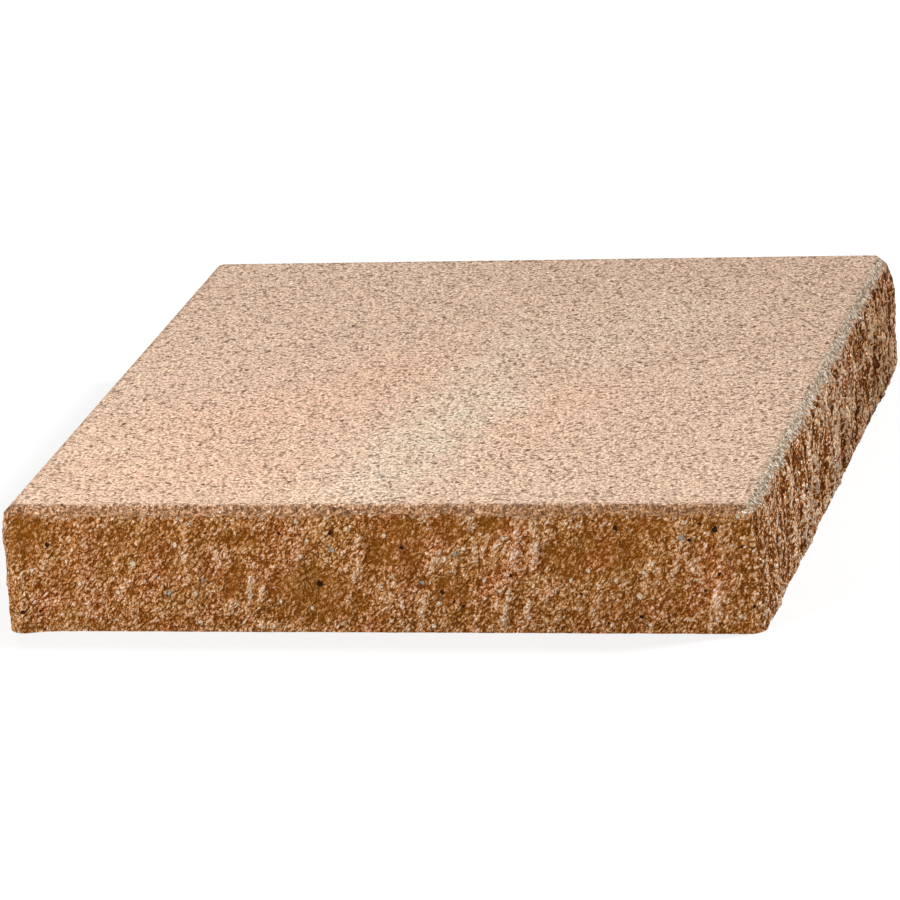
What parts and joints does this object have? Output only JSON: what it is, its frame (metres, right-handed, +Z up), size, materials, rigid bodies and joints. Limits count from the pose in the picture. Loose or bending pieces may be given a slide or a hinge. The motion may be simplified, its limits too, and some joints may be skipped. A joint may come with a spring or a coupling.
{
  "type": "pier cap",
  "caption": "Square rock-faced capping block in sandstone colour: flat top with a bevelled edge, split sides and a flat bed that sits on a masonry pier.",
  "frame": {"origin": "centre of the flat underside", "axes": "+Z up through the thickness, +X along the front face to the right, -Y towards the viewer of the front face"},
  "size_m": [0.4698, 0.47, 0.08],
  "materials": {
    "cast_stone": "dry-cast sandstone-coloured concrete: fine open grain on the flat top, split rock texture on the sides"
  },
  "bodies": {
    "root": {"pier_cap": "cast_stone"}
  },
  "joints": []
}
